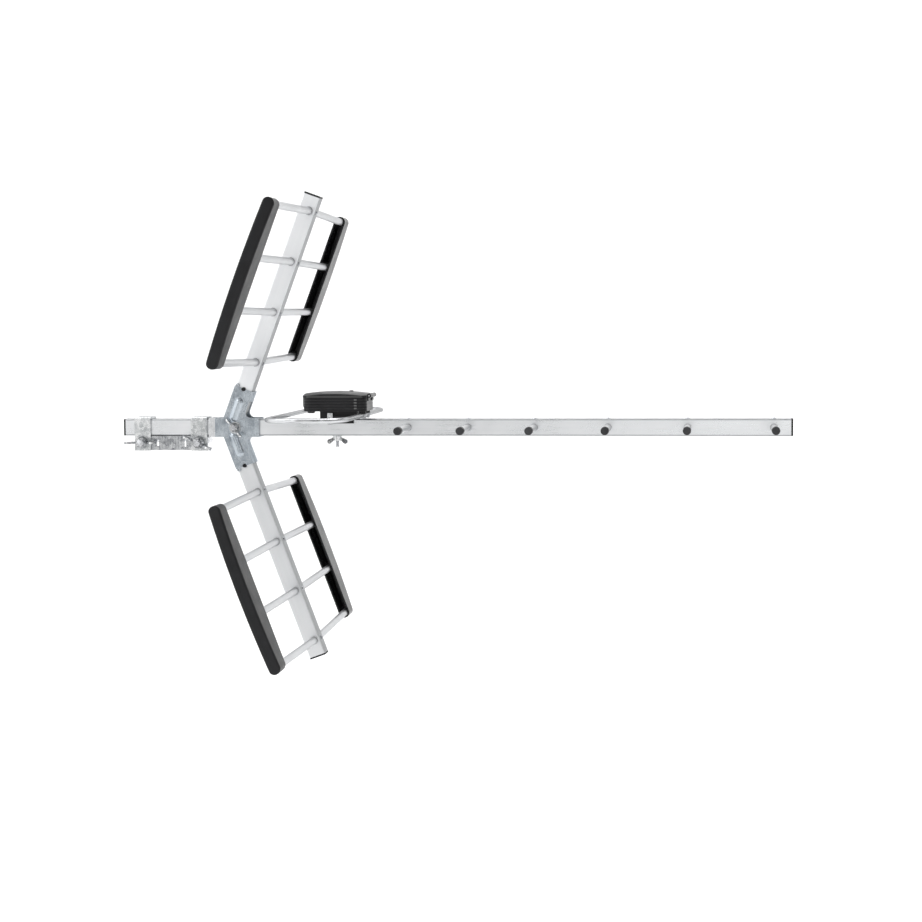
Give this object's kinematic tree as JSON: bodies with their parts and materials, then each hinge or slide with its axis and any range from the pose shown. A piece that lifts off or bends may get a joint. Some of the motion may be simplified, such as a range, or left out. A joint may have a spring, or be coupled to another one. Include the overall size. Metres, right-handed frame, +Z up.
{
  "type": "yagi antenna",
  "caption": "UHF yagi antenna: square boom with rod directors, corner reflector on two arms, folded dipole under a hinged connection box, and a U-bolt mast clamp.",
  "frame": {"origin": "on the mast's axis, half way up the clamp jaw", "axes": "+X along the boom towards the directors, +Z up along the mast, +Y from the boom towards the mast"},
  "size_m": [0.802, 0.46, 0.5634],
  "materials": {
    "boom_aluminium": "satin mill finish",
    "arm_aluminium": "satin mill finish",
    "rod_aluminium": "satin drawn tube",
    "dipole_aluminium": "bright drawn rod",
    "cap_plastic": "moulded black",
    "rail_plastic": "moulded black with a fine grain",
    "box_plastic": "moulded black, half matt",
    "soft_rubber": "dark grey rubber",
    "hub_zinc": "bright zinc plated pressing",
    "clamp_zinc": "zinc plated, fine spangle",
    "bolt_steel": "zinc plated",
    "wing_nut_zinc": "cast, zinc plated",
    "board_green": "printed circuit board",
    "ferrite": "ferrite",
    "socket_brass": "nickel-tinted brass"
  },
  "bodies": {
    "antenna": {"boom": "boom_aluminium", "rear_boom_cap": "cap_plastic", "front_boom_cap": "cap_plastic", "director_1": "rod_aluminium", "director_2": "rod_aluminium", "director_3": "rod_aluminium", "director_4": "rod_aluminium", "director_5": "rod_aluminium", "director_6": "rod_aluminium", "director_end_caps": "soft_rubber", "director_rivets": "bolt_steel", "hub_front_plate": "hub_zinc", "hub_rear_plate": "hub_zinc", "hub_bolt": "bolt_steel", "upper_arm": "arm_aluminium", "lower_arm": "arm_aluminium", "upper_arm_cap": "cap_plastic", "lower_arm_cap": "cap_plastic", "upper_rod_1": "rod_aluminium", "upper_rod_2": "rod_aluminium", "upper_rod_3": "rod_aluminium", "upper_rod_4": "rod_aluminium", "lower_rod_1": "rod_aluminium", "lower_rod_2": "rod_aluminium", "lower_rod_3": "rod_aluminium", "lower_rod_4": "rod_aluminium", "reflector_rivets": "bolt_steel", "upper_near_rail": "rail_plastic", "upper_far_rail": "rail_plastic", "lower_near_rail": "rail_plastic", "lower_far_rail": "rail_plastic", "rear_strap": "clamp_zinc", "front_strap": "clamp_zinc", "mast_jaw": "clamp_zinc", "clamp_washers": "clamp_zinc", "dipole": "dipole_aluminium", "dipole_screws": "bolt_steel", "box_base": "box_plastic", "lid_pin": "bolt_steel", "lid_seal": "soft_rubber", "balun_board": "board_green", "balun_core": "ferrite", "coax_socket": "socket_brass", "cable_grommet": "soft_rubber", "saddle": "box_plastic", "earth_clip": "clamp_zinc", "dipole_bolt": "bolt_steel"},
    "u_bolt": {"u_bolt": "bolt_steel"},
    "rear_wing_nut": {"rear_wing_nut": "wing_nut_zinc"},
    "front_wing_nut": {"front_wing_nut": "wing_nut_zinc"},
    "hub_washer": {"hub_washer": "clamp_zinc"},
    "hub_wing_nut": {"hub_wing_nut": "wing_nut_zinc"},
    "box_lid": {"box_lid": "box_plastic"},
    "dipole_washer": {"dipole_washer": "clamp_zinc"},
    "dipole_wing_nut": {"dipole_wing_nut": "wing_nut_zinc"},
    "upper_snap": {"upper_snap_button": "cap_plastic", "upper_snap_spring": "bolt_steel"},
    "lower_snap": {"lower_snap_button": "cap_plastic", "lower_snap_spring": "bolt_steel"}
  },
  "joints": [
    {"name": "rear_wing_nut_turn", "type": "hinge", "parent": "antenna", "child": "rear_wing_nut", "pos_m": [-0.035, -0.0533, 0.001], "axis": [0, -1, 0], "range_deg": [-5762, 2882]},
    {"name": "front_wing_nut_turn", "type": "hinge", "parent": "antenna", "child": "front_wing_nut", "pos_m": [0.035, -0.0533, 0.001], "axis": [0, -1, 0], "range_deg": [-5762, 2882]},
    {"name": "u_bolt_slide", "type": "slide", "parent": "antenna", "child": "u_bolt", "axis": [0, 1, 0], "range_m": [-0.02, 0.01]},
    {"name": "hub_washer_slide", "type": "slide", "parent": "antenna", "child": "hub_washer", "axis": [0, -1, 0], "range_m": [0, 0.00405]},
    {"name": "hub_wing_nut_turn", "type": "hinge", "parent": "hub_washer", "child": "hub_wing_nut", "pos_m": [0.08, -0.0536, 0.019], "axis": [0, -1, 0], "range_deg": [0, 1440]},
    {"name": "dipole_washer_slide", "type": "slide", "parent": "antenna", "child": "dipole_washer", "axis": [0, 0, -1], "range_m": [0, 0.00405]},
    {"name": "dipole_wing_nut_turn", "type": "hinge", "parent": "dipole_washer", "child": "dipole_wing_nut", "pos_m": [0.2025, -0.039, 0.0076], "axis": [0, 0, -1], "range_deg": [0, 1800]},
    {"name": "lid_hinge", "type": "hinge", "parent": "antenna", "child": "box_lid", "pos_m": [0.2448, -0.039, 0.0572], "axis": [0, 1, 0], "range_deg": [0, 110]},
    {"name": "upper_snap_press", "type": "slide", "parent": "antenna", "child": "upper_snap", "axis": [0, 1, 0], "range_m": [0, 0.0024], "stiffness_N_per_m": 800, "springref_m": -0.002},
    {"name": "lower_snap_press", "type": "slide", "parent": "antenna", "child": "lower_snap", "axis": [0, 1, 0], "range_m": [0, 0.0024], "stiffness_N_per_m": 800, "springref_m": -0.002}
  ],
  "couplings": [
    {"joint": "rear_wing_nut_turn", "follows": "u_bolt_slide", "rad_per_m": 5026.5},
    {"joint": "front_wing_nut_turn", "follows": "u_bolt_slide", "rad_per_m": 5026.5},
    {"joint": "hub_washer_slide", "follows": "hub_wing_nut_turn", "m_per_rad": 0.00015915},
    {"joint": "dipole_washer_slide", "follows": "dipole_wing_nut_turn", "m_per_rad": 0.00012732}
  ]
}
